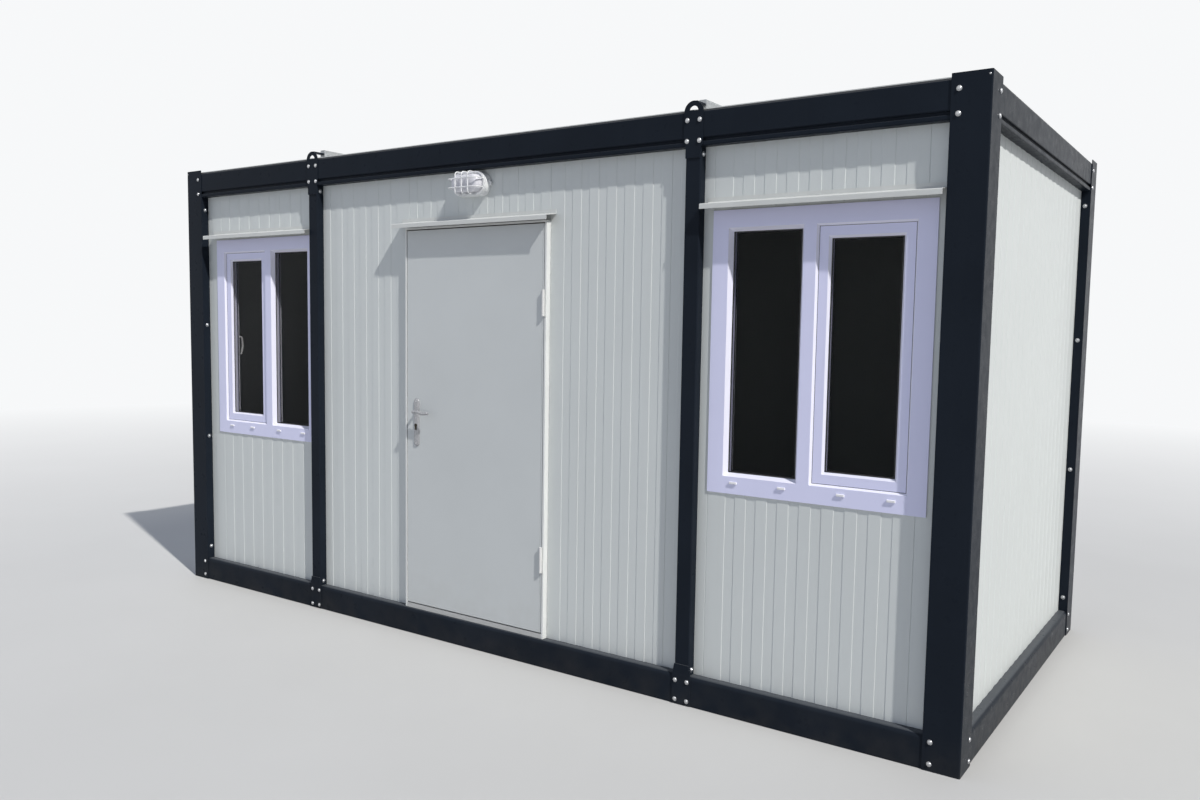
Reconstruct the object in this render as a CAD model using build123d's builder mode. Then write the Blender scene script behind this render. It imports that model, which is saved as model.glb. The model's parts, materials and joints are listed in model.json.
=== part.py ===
"""Portable site cabin: a bolted steel frame of cold-formed beams and posts, closed by ribbed sandwich panels,
with one door and two windows in the front. Millimetres, +Z up, front towards -Y, origin under the middle."""

from build123d import *
import os

os.makedirs("parts", exist_ok=True)

# Overall sizes, over the corner posts
length = 4900
depth = 2300
height = 2600

# Steel frame
sheet = 4
bend = 5
corner_width = 145
corner_round = 6
post_set = 48
mid_post_width = 73
post_notch_set = 42
post_notch_gap = 1
end_bay = 1213
base_height = 137
base_flange = 110
base_round = 20
lip = 20
top_drop = 21
top_height = 110
top_lip_gap = 14
top_groove = 12
groove_bend = 1
top_flange = 60
soffit_drop = 164
soffit_depth = 110

# Plates bolted over the middle posts
plate_width = 92
plate_foot = 5
foot_plate_top = 184
head_plate_lap = 49
head_shoulder = 7
head_taper = 12
lug_rise = 25
lug_wall = 24
lug_top_wall = 21
eye_floor_rise = 5
strap_width = 30
strap_thickness = 8
strap_reach = 75

# Sandwich wall panels
wall_thickness = 50
rib_pitch = 98
rib_land = 50
rib_step = 1.6
rib_slope = 2
panel_edge = 2

# Floor
deck_thickness = 18
joist_width = 45
joist_height = 110
joist_wall = 3
joist_count = 9

# Roof
trim_set = 16
trim_height = 12
trim_sheet = 2
trim_lap = 50
roof_sheet = 1.5
roof_rib_bays = 5
roof_rib_top = 40
roof_rib_foot = 70
cap_width = 36
cap_height = 54
cap_sheet = 2
cap_bend = 3
ceiling_thickness = 12

# Door
leaf_left = -495
leaf_width = 920
leaf_lift = 29
door_head_drop = 283
leaf_thickness = 40
leaf_set = 20
leaf_seam_inset = 10
leaf_seam_width = 2
leaf_seam_depth = 1.5
door_gap = 5
frame_proud = 30
frame_leg = 10
stop_lap = 15
sill_upstand = 15

# Hinges
barrel_radius = 7
pin_radius = 4
pin_fit = 0.05
pin_tip = 8
knuckle_gap = 0.3
hinge_height = 126
lower_hinge_rise = 301
upper_hinge_drop = 439
wing_width = 14
wing_sheet = 3

# Lever handle and lock
plate_inset = 69
handle_plate_width = 38
handle_plate_height = 255
handle_plate_thickness = 8
handle_plate_bevel = 3
handle_plate_rise = 853
lever_drop = 71
neck_radius = 8
neck_fit = 0.08
neck_length = 40
lever_length = 120
lever_wave = 5
lever_wave_radius = 60
lever_tip_round = 6
cylinder_drop = 143
cylinder_radius = 8.5
cylinder_leg = 10
cylinder_height = 33
cylinder_proud = 3
cylinder_fit = 0.05
spindle_size = 8
spindle_clearance = 6

# Windows
window_margin = 84
left_window_shift = 55
window_width = 948
window_head_drop = 270
window_height = 1201
window_set = 43
window_depth = 62
jamb_face = 74
mullion_face = 54
fixed_light = 340
light_bevel = 15
lip_bevel = 8
rebate = 12
sash_face = 40
sash_lap = 8
sash_bevel = 10
sash_depth = 48
sash_gap = 0.5
glass_thickness = 24
glass_bite = 8
panel_joint_inset = 42
drain_cap_size = (34, 7, 10)
drain_cap_rise = 43
drain_cap_round = 2
drain_cap_offsets = (109, 332, 589, 795)
window_handle_width = 24
window_handle_base = 70
window_handle_base_depth = 10
window_lever_length = 112
window_lever_reach = 26
window_lever_bow = 7
window_lever_radius = 7
window_lever_bends = (12, 60)
window_lever_tip_round = 5

# Hoods over the openings
hood_reach = 78
hood_sheet = 2
hood_bend = 4
hood_fall = 12
hood_lip = 22
hood_upstand = 20
door_hood_over_left = 52
door_hood_over_right = 33
door_hood_lap = 3
window_hood_over_inner = 31
window_hood_over_outer = 29
left_hood_over_outer = 33
window_hood_gap = 2

# Bulkhead lamp
lamp_x = -55
lamp_drop = 68
lamp_length = 232
lamp_width = 124
lamp_base_depth = 34
lamp_round = 56
lamp_flange = 6
lamp_ear_reach = 10
lamp_ear_width = 26
lamp_ear_depth = 12
glass_length = 180
glass_width = 88
glass_round = 40
glass_depth = 44
glass_inset = 12
cage_gap = 8
cage_wire = 3
cage_rim = 4
cage_hoop_offset = 42
cage_bar_offset = 22
cage_corner = 18

# Places worked out from the sizes
front_reach = lamp_base_depth + glass_depth + cage_gap + 2 * cage_wire - post_set
front_face = (front_reach - depth) / 2
rear_face = front_face + depth
mid_y = (front_face + rear_face) / 2
wall_inner = post_set + wall_thickness
top_z = height - top_drop
soffit_z = height - soffit_drop
wall_height = soffit_z - base_height
mid_post_x = length / 2 - end_bay
leaf_right = leaf_left + leaf_width
leaf_bottom = base_height + leaf_lift
leaf_top = soffit_z - door_head_drop
door_outer_left = leaf_left - door_gap - frame_leg
door_outer_right = leaf_right + door_gap + frame_leg
door_outer_top = leaf_top + door_gap + frame_leg
frame_set = post_set - frame_proud
leaf_back = leaf_set + leaf_thickness
stop_set = leaf_back + door_gap
hinge_x = leaf_right + door_gap / 2
hinge_set = frame_set - barrel_radius
lower_hinge_z = leaf_bottom + lower_hinge_rise
upper_hinge_z = leaf_top - upper_hinge_drop
plate_x = leaf_left + plate_inset
plate_top = leaf_bottom + handle_plate_rise + handle_plate_height
lever_z = plate_top - lever_drop
cylinder_z = plate_top - cylinder_drop
lamp_z = soffit_z - lamp_drop
window_x = mid_post_x + window_margin
window_right = window_x + window_width
window_top = soffit_z - window_head_drop
window_sill = window_top - window_height

# Inward direction of each side, as a plane's x axis, and the middle of its outer face
SIDES = {
    "front": ((0, 1, 0), (0, front_face)),
    "rear": ((0, -1, 0), (0, rear_face)),
    "left": ((1, 0, 0), (-length / 2, mid_y)),
    "right": ((-1, 0, 0), (length / 2, mid_y)),
}


def section_plane(side):
    """Upright plane across a side: x runs inward from the outer face, y up."""
    inward, (x, y) = SIDES[side]
    along = Vector(*inward).cross(Vector(0, 0, 1))
    return Plane(origin=(x, y, 0), x_dir=inward, z_dir=along)


def plan_plane(side, z):
    """Level plane on a side: x runs along it, y inward from the outer face."""
    inward, (x, y) = SIDES[side]
    along = Vector(*inward).cross(Vector(0, 0, 1))
    return Plane(origin=(x, y, z), x_dir=along, z_dir=(0, 0, 1))


def face_plane(side, set_back):
    """Upright plane facing out of a side, set back from its outer face: x runs along it, y up."""
    section = section_plane(side)
    return Plane(
        origin=section.origin + section.x_dir * set_back, x_dir=section.z_dir, z_dir=-section.x_dir
    )


def front_plane(set_back):
    return face_plane("front", set_back)


def mid_plane(x, z):
    """Upright plane through the cabin's middle depth: x to the right, y up."""
    return Plane(origin=(x, mid_y, z), x_dir=(1, 0, 0), z_dir=(0, -1, 0))


def rectangle_between(x0, z0, x1, z1, mode=Mode.ADD):
    with Locations(((x0 + x1) / 2, (z0 + z1) / 2)):
        Rectangle(x1 - x0, z1 - z0, mode=mode)


def bent_section(plane, points, radii, thickness):
    """Section of a folded sheet: its outer line, with the thickness to the right of it."""
    with BuildSketch(plane) as section:
        with BuildLine():
            FilletPolyline(*points, radius=radii)
            offset(amount=thickness, side=Side.RIGHT, closed=True)
        make_face()
    return section.sketch


def keep(part, name):
    part.label = name
    export_step(part, f"parts/{name}.step")


def base_beam(side, run):
    """Cold-formed channel with a rounded top edge, open to the inside, with a lip on each flange."""
    section = bent_section(
        section_plane(side),
        [
            (base_flange, lip),
            (base_flange, 0),
            (sheet, 0),
            (sheet, base_height),
            (base_flange, base_height),
            (base_flange, base_height - lip),
        ],
        [bend, bend, base_round, bend],
        sheet,
    )
    with BuildPart() as beam:
        extrude(section, amount=run / 2, both=True)
    return beam.part


def top_beam(side, run):
    """Deep fascia with a groove and a drip lip along its foot, a soffit that carries the wall's head."""
    fascia_foot = top_z - top_height
    lip_top = fascia_foot - top_lip_gap
    section = bent_section(
        section_plane(side),
        [
            (soffit_depth, soffit_z + lip),
            (soffit_depth, soffit_z),
            (sheet, soffit_z),
            (sheet, lip_top),
            (sheet + top_groove, lip_top),
            (sheet + top_groove, fascia_foot),
            (sheet, fascia_foot),
            (sheet, top_z),
            (top_flange, top_z),
        ],
        [bend, bend, bend, groove_bend, groove_bend, bend, bend],
        sheet,
    )
    with BuildPart() as beam:
        extrude(section, amount=run / 2, both=True)
    return beam.part


def corner_post():
    """Full-height angle over both beams' ends, with returns folded back to the walls between the beams."""
    corner = Plane(origin=(-length / 2, front_face, 0))
    angle = [(corner_width, 0), (0, 0), (0, corner_width)]
    returns = [(corner_width, post_set), *angle, (post_set, corner_width)]
    with BuildPart() as post:
        extrude(bent_section(corner, angle, corner_round, sheet), amount=height)
        wall_foot = corner.offset(base_height)
        extrude(bent_section(wall_foot, returns, [bend, corner_round, bend], sheet), amount=wall_height)
    return post.part


def mid_post(side, u):
    """Shallow channel over a panel joint, its open side to the wall."""
    half = mid_post_width / 2
    channel = [(u + half, post_set), (u + half, sheet), (u - half, sheet), (u - half, post_set)]
    with BuildPart() as post:
        extrude(bent_section(plan_plane(side, base_height), channel, bend, sheet), amount=wall_height)
    return post.part


def foot_plate(side, u):
    """Flat plate that bolts a middle post's foot to the base beam, tapering up to the post's width."""
    half, half_top = plate_width / 2, mid_post_width / 2
    with BuildPart() as plate:
        with BuildSketch(face_plane(side, 0)):
            with BuildLine():
                Polyline(
                    (u - half, plate_foot),
                    (u + half, plate_foot),
                    (u + half, base_height),
                    (u + half_top, foot_plate_top),
                    (u - half_top, foot_plate_top),
                    (u - half, base_height),
                    close=True,
                )
            make_face()
        extrude(amount=-sheet)
    return plate.part


def head_plate(side, u):
    """Plate over a middle post's head, ending in a round lifting lug with a D-shaped eye and a strap."""
    half, half_foot = plate_width / 2, mid_post_width / 2
    lug_top = height + lug_rise
    eye = half - lug_wall
    shoulder = soffit_z + head_shoulder
    plate_bottom = soffit_z - head_plate_lap
    with BuildPart() as plate:
        with BuildSketch(face_plane(side, 0)):
            with BuildLine():
                Polyline(
                    (u - half, lug_top - half),
                    (u - half, shoulder),
                    (u - half_foot, shoulder - head_taper),
                    (u - half_foot, plate_bottom),
                    (u + half_foot, plate_bottom),
                    (u + half_foot, shoulder - head_taper),
                    (u + half, shoulder),
                    (u + half, lug_top - half),
                )
                ThreePointArc((u + half, lug_top - half), (u, lug_top), (u - half, lug_top - half))
            make_face()
            with Locations((u, lug_top - lug_top_wall - eye)):
                Circle(eye, mode=Mode.SUBTRACT)
            with Locations((u, top_z + eye_floor_rise - eye)):
                Rectangle(2 * eye, 2 * eye)
        extrude(amount=-sheet)
        with BuildSketch(face_plane(side, sheet)):
            with Locations((u, lug_top - strap_thickness / 2)):
                Rectangle(strap_width, strap_thickness)
        extrude(amount=sheet - strap_reach)
    return plate.part


def panel_outline(u0, u1):
    """Plan outline of a wall panel: shallow wide ribs on the outer face, small bevels at the joints."""
    width = u1 - u0
    count = int((width - rib_land) // rib_pitch)
    groove = rib_pitch - rib_land
    first = (u0 + u1 - count * rib_pitch + rib_land) / 2
    points = [(u0, post_set + panel_edge), (u0 + panel_edge, post_set)]
    for i in range(count):
        start = first + i * rib_pitch
        points += [
            (start, post_set),
            (start + rib_slope, post_set + rib_step),
            (start + groove - rib_slope, post_set + rib_step),
            (start + groove, post_set),
        ]
    points += [(u1 - panel_edge, post_set), (u1, post_set + panel_edge)]
    points += [(u1, wall_inner), (u0, wall_inner)]
    return points


def wall_panel(side, u0, u1, z0, z1):
    with BuildPart() as panel:
        with BuildSketch(plan_plane(side, z0)):
            with BuildLine():
                Polyline(*panel_outline(u0, u1), close=True)
            make_face()
        extrude(amount=z1 - z0)
    return panel.part


# Base and top beams
long_run = length - 2 * corner_round
base_end_run = depth - 2 * base_flange
top_end_run = depth - 2 * soffit_depth
for side in ("front", "rear"):
    keep(base_beam(side, long_run), f"base_beam_{side}")
    keep(top_beam(side, long_run), f"top_beam_{side}")

with BuildPart() as base_beam_ends:
    add(base_beam("left", base_end_run))
    add(base_beam("right", base_end_run))
keep(base_beam_ends.part, "base_beam_ends")

with BuildPart() as top_beam_ends:
    add(top_beam("left", top_end_run))
    add(top_beam("right", top_end_run))
keep(top_beam_ends.part, "top_beam_ends")


def mirrored(solid, plane):
    with BuildPart() as other:
        add(solid)
        mirror(about=plane, mode=Mode.REPLACE)
    return other.part


# Posts, each corner a mirror image of its neighbours. The left window's edge runs behind one middle post's
# face, so that post's flange is notched for it
front_left_post = corner_post()
front_right_post = mirrored(front_left_post, Plane.YZ)
front_to_rear = Plane(origin=(0, mid_y, 0), z_dir=(0, 1, 0))
keep(front_left_post, "corner_post_front_left")
keep(front_right_post, "corner_post_front_right")
keep(mirrored(front_left_post, front_to_rear), "corner_post_rear_left")
keep(mirrored(front_right_post, front_to_rear), "corner_post_rear_right")

with BuildPart() as mid_posts:
    for side in ("front", "rear"):
        for u in (-mid_post_x, mid_post_x):
            add(mid_post(side, u))
    with BuildSketch(front_plane(post_notch_set)):
        rectangle_between(
            -mid_post_x - mid_post_width / 2,
            window_sill - post_notch_gap,
            -mid_post_x,
            window_top + post_notch_gap,
        )
    extrude(amount=post_notch_set - post_set, mode=Mode.SUBTRACT)
keep(mid_posts.part, "mid_posts")

with BuildPart() as foot_plates:
    for side in ("front", "rear"):
        for u in (-mid_post_x, mid_post_x):
            add(foot_plate(side, u))
keep(foot_plates.part, "foot_plates")

with BuildPart() as lifting_plates:
    for side in ("front", "rear"):
        for u in (-mid_post_x, mid_post_x):
            add(head_plate(side, u))
keep(lifting_plates.part, "lifting_plates")

# Front wall, in bays between the posts
wall_edge = length / 2 - post_set


def window_bay(start):
    """Strips beside a window that starts at an x, notched for its frame, and panels over and under it."""
    end = start + window_width
    joint = end - panel_joint_inset
    with BuildPart() as sides:
        add(wall_panel("front", mid_post_x, start, base_height, soffit_z))
        add(wall_panel("front", joint, wall_edge, base_height, soffit_z))
        with BuildSketch(front_plane(0)):
            rectangle_between(start, window_sill, end, window_top)
        extrude(amount=-wall_inner, mode=Mode.SUBTRACT)
    return {
        "window_bay_sides": sides.part,
        "wall_under_window": wall_panel("front", start, joint, base_height, window_sill),
        "wall_over_window": wall_panel("front", start, joint, window_top, soffit_z),
    }


for piece_name, piece in window_bay(window_x).items():
    keep(piece, f"{piece_name}_right")
for piece_name, piece in window_bay(window_x - left_window_shift).items():
    keep(mirrored(piece, Plane.YZ), f"{piece_name}_left")

keep(wall_panel("front", -mid_post_x, door_outer_left, base_height, soffit_z), "wall_left_of_door")
keep(wall_panel("front", door_outer_right, mid_post_x, base_height, soffit_z), "wall_right_of_door")
keep(wall_panel("front", door_outer_left, door_outer_right, door_outer_top, soffit_z), "wall_over_door")

# Rear and end walls
keep(wall_panel("rear", -wall_edge, -mid_post_x, base_height, soffit_z), "rear_wall_right")
keep(wall_panel("rear", -mid_post_x, mid_post_x, base_height, soffit_z), "rear_wall_middle")
keep(wall_panel("rear", mid_post_x, wall_edge, base_height, soffit_z), "rear_wall_left")
end_edge = depth / 2 - wall_inner
for side in ("left", "right"):
    keep(wall_panel(side, -end_edge, end_edge, base_height, soffit_z), f"{side}_end_wall")

# Floor on joists that butt the base beams' lips
room_length = length - 2 * wall_inner
room_depth = depth - 2 * wall_inner
joist_span = depth - 2 * base_flange
joist_field = length - 2 * base_flange - joist_width
with BuildPart() as floor_joists:
    with BuildSketch(mid_plane(0, base_height - joist_height / 2)):
        with GridLocations(joist_field / (joist_count + 1), 0, joist_count, 1):
            Rectangle(joist_width, joist_height)
        with Locations((joist_wall, 0)):
            with GridLocations(joist_field / (joist_count + 1), 0, joist_count, 1):
                Rectangle(joist_width, joist_height - 2 * joist_wall, mode=Mode.SUBTRACT)
    extrude(amount=joist_span / 2, both=True)
keep(floor_joists.part, "floor_joists")

with BuildPart() as floor_deck:
    with BuildSketch(Plane(origin=(0, mid_y, base_height))):
        Rectangle(room_length, room_depth)
    extrude(amount=deck_thickness)
keep(floor_deck.part, "floor_deck")

with BuildPart() as ceiling:
    with BuildSketch(Plane(origin=(0, mid_y, soffit_z))):
        Rectangle(room_length, room_depth)
    extrude(amount=-ceiling_thickness)
keep(ceiling.part, "ceiling")

# Roof, its trim set back on the beams and lapping the ends of the ribs
roof_length = length - 2 * trim_set
roof_depth = depth - 2 * trim_set
with BuildPart() as roof_trim:
    with BuildSketch(Plane(origin=(0, mid_y, top_z))):
        Rectangle(roof_length, roof_depth)
        Rectangle(roof_length - 2 * trim_sheet, roof_depth - 2 * trim_sheet, mode=Mode.SUBTRACT)
    extrude(amount=trim_height)
    with BuildSketch(Plane(origin=(0, mid_y, top_z + trim_height))):
        Rectangle(roof_length, roof_depth)
        Rectangle(roof_length - 2 * trim_lap, roof_depth - 2 * trim_lap, mode=Mode.SUBTRACT)
    extrude(amount=-trim_sheet)
keep(roof_trim.part, "roof_trim")

roof_rib_height = trim_height - trim_sheet
roof_rib_pitch = mid_post_x / roof_rib_bays
roof_half = roof_length / 2 - trim_sheet
side_ribs = int((roof_half - roof_rib_foot / 2) // roof_rib_pitch)
upper_edge = [(-roof_half, roof_sheet)]
for i in range(-side_ribs, side_ribs + 1):
    x = i * roof_rib_pitch
    upper_edge += [
        (x - roof_rib_foot / 2, roof_sheet),
        (x - roof_rib_top / 2, roof_rib_height),
        (x + roof_rib_top / 2, roof_rib_height),
        (x + roof_rib_foot / 2, roof_sheet),
    ]
upper_edge.append((roof_half, roof_sheet))
lower_edge = [(x, z - roof_sheet) for x, z in reversed(upper_edge)]
with BuildPart() as roof_deck:
    with BuildSketch(mid_plane(0, top_z)):
        with BuildLine():
            Polyline(*upper_edge, *lower_edge, close=True)
        make_face()
    extrude(amount=roof_depth / 2 - trim_sheet, both=True)
keep(roof_deck.part, "roof_deck")

cap_run = depth - 2 * strap_reach


def roof_cap(x):
    """Folded cap over a rib between the lifting straps, closed at its ends."""
    half = cap_width / 2
    rib_top = mid_plane(x, top_z + roof_rib_height)
    channel = [(-half, 0), (-half, cap_height), (half, cap_height), (half, 0)]
    with BuildPart() as cap:
        extrude(bent_section(rib_top, channel, cap_bend, cap_sheet), amount=cap_run / 2, both=True)
        for outward in (-1, 1):
            with BuildSketch(rib_top.offset(outward * cap_run / 2)):
                with Locations((0, (cap_height - cap_sheet) / 2)):
                    Rectangle(cap_width - 2 * cap_sheet, cap_height - cap_sheet)
            extrude(amount=-outward * cap_sheet)
    return cap.part


with BuildPart() as roof_caps:
    for x in (-mid_post_x, mid_post_x):
        add(roof_cap(x))
keep(roof_caps.part, "roof_caps")

# Door frame, with a stop behind the leaf, and threshold
frame_depth = wall_inner - frame_set
opening_left = door_outer_left + frame_leg
opening_right = door_outer_right - frame_leg
opening_top = door_outer_top - frame_leg
stop_left = leaf_left + stop_lap
stop_right = leaf_right - stop_lap
stop_top = leaf_top - stop_lap
sill_top = leaf_bottom - door_gap
with BuildPart() as door_frame:
    with BuildSketch(front_plane(frame_set)):
        rectangle_between(door_outer_left, base_height, door_outer_right, door_outer_top)
        rectangle_between(opening_left, base_height, opening_right, opening_top, Mode.SUBTRACT)
    extrude(amount=-frame_depth)
    with BuildSketch(front_plane(stop_set)):
        rectangle_between(opening_left, base_height, opening_right, opening_top)
        rectangle_between(stop_left, base_height, stop_right, stop_top, Mode.SUBTRACT)
    extrude(amount=stop_set - wall_inner)
keep(door_frame.part, "door_frame")

with BuildPart() as threshold:
    with BuildSketch(front_plane(frame_set)):
        rectangle_between(opening_left, base_height, opening_right, sill_top)
    extrude(amount=frame_set - stop_set)
    with BuildSketch(front_plane(stop_set)):
        rectangle_between(stop_left, base_height, stop_right, sill_top + sill_upstand)
    extrude(amount=stop_set - wall_inner)
keep(threshold.part, "threshold")


def cylinder_outline(fit=0, mode=Mode.ADD):
    """Keyhole-shaped outline of a profile cylinder, larger by a fit where it is a hole."""
    with Locations((plate_x, cylinder_z)):
        Circle(cylinder_radius + fit, mode=mode)
    with Locations((plate_x, cylinder_z - (cylinder_height - cylinder_radius) / 2)):
        Rectangle(cylinder_leg + 2 * fit, cylinder_height - cylinder_radius + 2 * fit, mode=mode)


# Door leaf and what is fixed to it
leaf_seam = leaf_right - leaf_seam_inset
with BuildPart() as door_leaf:
    with BuildSketch(front_plane(leaf_set)):
        rectangle_between(leaf_left, leaf_bottom, leaf_right, leaf_top)
        with Locations((plate_x, lever_z)):
            Circle(neck_radius + spindle_clearance, mode=Mode.SUBTRACT)
        cylinder_outline(cylinder_fit, Mode.SUBTRACT)
    extrude(amount=-leaf_thickness)
    with BuildSketch(front_plane(leaf_set)):
        rectangle_between(leaf_seam, leaf_bottom, leaf_seam + leaf_seam_width, leaf_top)
    extrude(amount=-leaf_seam_depth, mode=Mode.SUBTRACT)
keep(door_leaf.part, "door_leaf")

plate_middle = plate_top - handle_plate_height / 2
with BuildPart() as handle_plates:
    for face_set in (leaf_set - handle_plate_thickness, leaf_back):
        with BuildSketch(front_plane(face_set)):
            with Locations((plate_x, plate_middle)):
                SlotOverall(handle_plate_height, handle_plate_width, rotation=90)
            with Locations((plate_x, lever_z)):
                Circle(neck_radius + neck_fit, mode=Mode.SUBTRACT)
            cylinder_outline(cylinder_fit, Mode.SUBTRACT)
        extrude(amount=-handle_plate_thickness)
    plate_faces = handle_plates.faces().filter_by(Axis.Y).sort_by(Axis.Y)
    show_faces = (plate_faces[0], plate_faces[-1])
    chamfer([edge for face in show_faces for edge in face.outer_wire().edges()], handle_plate_bevel)
keep(handle_plates.part, "handle_plates")

with BuildPart() as lock_cylinder:
    with BuildSketch(front_plane(leaf_set - handle_plate_thickness - cylinder_proud)):
        cylinder_outline()
    extrude(amount=-(leaf_thickness + 2 * handle_plate_thickness + 2 * cylinder_proud))
keep(lock_cylinder.part, "lock_cylinder")

# Lever handles on one square spindle, each arm a shallow wave with a round tip
lever_y = front_face + leaf_set - handle_plate_thickness - neck_length + neck_radius
neck_end = leaf_thickness / 2 - spindle_size
leaf_mid_y = front_face + leaf_set + leaf_thickness / 2
with BuildPart() as lever_handle:
    for outward in (-1, 1):
        arm_y = leaf_mid_y + outward * (leaf_mid_y - lever_y)
        start_y = leaf_mid_y + outward * neck_end
        with BuildLine():
            FilletPolyline(
                (plate_x, start_y, lever_z),
                (plate_x, arm_y, lever_z),
                (plate_x + lever_length / 3, arm_y, lever_z + lever_wave),
                (plate_x + 2 * lever_length / 3, arm_y, lever_z - lever_wave),
                (plate_x + lever_length, arm_y, lever_z),
                radius=[2 * neck_radius, lever_wave_radius, lever_wave_radius],
            )
        with BuildSketch(Plane(origin=(plate_x, start_y, lever_z), z_dir=(0, outward, 0))):
            Circle(neck_radius)
        sweep()
    tips = lever_handle.faces().filter_by(GeomType.PLANE).sort_by(Axis.X)[-2:]
    fillet(tips.edges(), lever_tip_round)
    with BuildSketch(Plane(origin=(plate_x, leaf_mid_y, lever_z), z_dir=(0, -1, 0))):
        Rectangle(spindle_size, spindle_size)
    extrude(amount=neck_end, both=True)
keep(lever_handle.part, "lever_handle")

# Lift-off hinges: the lower half and its pin stay with the frame, the upper half turns with the leaf
half_height = hinge_height / 2
hinge_y = front_face + hinge_set


def hinge_plane(z):
    return Plane(origin=(hinge_x, hinge_y, z))


with BuildPart() as hinge_frame_halves:
    for hinge_z in (lower_hinge_z, upper_hinge_z):
        with BuildSketch(hinge_plane(hinge_z)):
            Circle(barrel_radius)
            with Locations(((door_gap / 2 + frame_leg) / 2, barrel_radius - wing_sheet / 2)):
                Rectangle(door_gap / 2 + frame_leg, wing_sheet)
        extrude(amount=half_height - knuckle_gap / 2)
        with BuildSketch(hinge_plane(hinge_z)):
            Circle(pin_radius)
        extrude(amount=hinge_height - pin_tip)
keep(hinge_frame_halves.part, "hinge_frame_halves")

with BuildPart() as hinge_leaf_halves:
    for hinge_z in (lower_hinge_z, upper_hinge_z):
        with BuildSketch(hinge_plane(hinge_z + half_height + knuckle_gap / 2)):
            Circle(barrel_radius)
            with Locations((-wing_width / 2, leaf_set - hinge_set - wing_sheet / 2)):
                Rectangle(wing_width, wing_sheet)
        extrude(amount=half_height - knuckle_gap / 2)
        with BuildSketch(hinge_plane(hinge_z)):
            Circle(pin_radius + pin_fit)
        extrude(amount=hinge_height - pin_tip + knuckle_gap, mode=Mode.SUBTRACT)
keep(hinge_leaf_halves.part, "hinge_leaf_halves")

# Windows: frame with a fixed light, and a sash that closes behind the frame's lip. The left one is a mirror
# image that stands nearer the door
left_window = Plane.YZ.offset(left_window_shift / 2)
mullion_x = window_x + jamb_face + fixed_light
sash_x = mullion_x + mullion_face
sash_right = window_right - jamb_face
light_bottom = window_sill + jamb_face
light_top = window_top - jamb_face
sash_set = window_set + rebate
glass_set = sash_set + rebate
frame_back = window_set + window_depth


def inset(box, distance):
    x0, z0, x1, z1 = box
    return (x0 + distance, z0 + distance, x1 - distance, z1 - distance)


fixed_opening = (window_x + jamb_face, light_bottom, mullion_x, light_top)
sash_opening = (sash_x, light_bottom, sash_right, light_top)
sash_pocket = inset(sash_opening, lip_bevel - sash_lap)
sash_outline = inset(sash_pocket, sash_gap)
sash_face_opening = inset(sash_opening, lip_bevel + sash_face)
fixed_light_opening = inset(fixed_opening, light_bevel)
sash_light_opening = inset(sash_face_opening, sash_bevel)
fixed_pane = inset(fixed_light_opening, -glass_bite)
sash_pane = inset(sash_light_opening, -glass_bite)


def face_at(set_back, box):
    with BuildSketch(front_plane(set_back)) as outline:
        rectangle_between(*box)
    return outline.sketch.face()


def cut_prism(box, from_set, to_set):
    extrude(face_at(from_set, box), amount=from_set - to_set, mode=Mode.SUBTRACT)


def cut_bevelled(box, bevel, from_set, to_set):
    """Opening that narrows evenly by a bevel on its way in."""
    loft([face_at(from_set, box), face_at(to_set, inset(box, bevel))], ruled=True, mode=Mode.SUBTRACT)


with BuildPart() as window_frame:
    with BuildSketch(front_plane(window_set)):
        rectangle_between(window_x, window_sill, window_right, window_top)
    extrude(amount=-window_depth)
    cut_bevelled(fixed_opening, light_bevel, window_set, glass_set)
    cut_prism(fixed_light_opening, glass_set, frame_back)
    cut_prism(fixed_pane, glass_set, glass_set + glass_thickness)
    cut_bevelled(sash_opening, lip_bevel, window_set, sash_set)
    cut_prism(sash_pocket, sash_set, frame_back)

with BuildPart() as window_sash:
    with BuildSketch(front_plane(sash_set)):
        rectangle_between(*sash_outline)
    extrude(amount=-sash_depth)
    cut_bevelled(sash_face_opening, sash_bevel, sash_set, glass_set)
    cut_prism(sash_light_opening, glass_set, sash_set + sash_depth)
    cut_prism(sash_pane, glass_set, glass_set + glass_thickness)

with BuildPart() as window_panes:
    with BuildSketch(front_plane(glass_set)):
        rectangle_between(*fixed_pane)
        rectangle_between(*sash_pane)
    extrude(amount=-glass_thickness)

drain_cap_width, drain_cap_reach, drain_cap_height = drain_cap_size
with BuildPart() as drain_caps:
    with BuildSketch(front_plane(window_set)):
        for offset_x in drain_cap_offsets:
            centre_x = window_x + offset_x + drain_cap_width / 2
            with Locations((centre_x, window_sill + drain_cap_rise + drain_cap_height / 2)):
                Rectangle(drain_cap_width, drain_cap_height)
    extrude(amount=drain_cap_reach)
    fronts = drain_caps.faces().group_by(Axis.Y)[0]
    fillet(fronts.edges(), drain_cap_round)

# Bow-shaped lever on the sash's outer stile, inside the room
handle_x = (sash_light_opening[2] + sash_outline[2]) / 2
handle_z = (window_sill + window_top) / 2
handle_set = sash_set + sash_depth
lever_start = front_face + handle_set + window_handle_base_depth
lever_crest = lever_start + window_lever_reach
lever_foot_z = handle_z - window_lever_length
with BuildPart() as window_handle:
    with BuildSketch(front_plane(handle_set)):
        with Locations((handle_x, handle_z)):
            SlotOverall(window_handle_base, window_handle_width, rotation=90)
    extrude(amount=-window_handle_base_depth)
    with BuildLine():
        FilletPolyline(
            (handle_x, lever_start, handle_z),
            (handle_x, lever_crest, handle_z),
            (handle_x, lever_crest + window_lever_bow, (handle_z + lever_foot_z) / 2),
            (handle_x, lever_crest - window_lever_bow, lever_foot_z),
            radius=window_lever_bends,
        )
    with BuildSketch(Plane(origin=(handle_x, lever_start, handle_z), z_dir=(0, 1, 0))):
        Circle(window_lever_radius)
    sweep()
    tip = window_handle.faces().filter_by(GeomType.PLANE).sort_by(Axis.Z)[0]
    fillet(tip.edges(), window_lever_tip_round)


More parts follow.
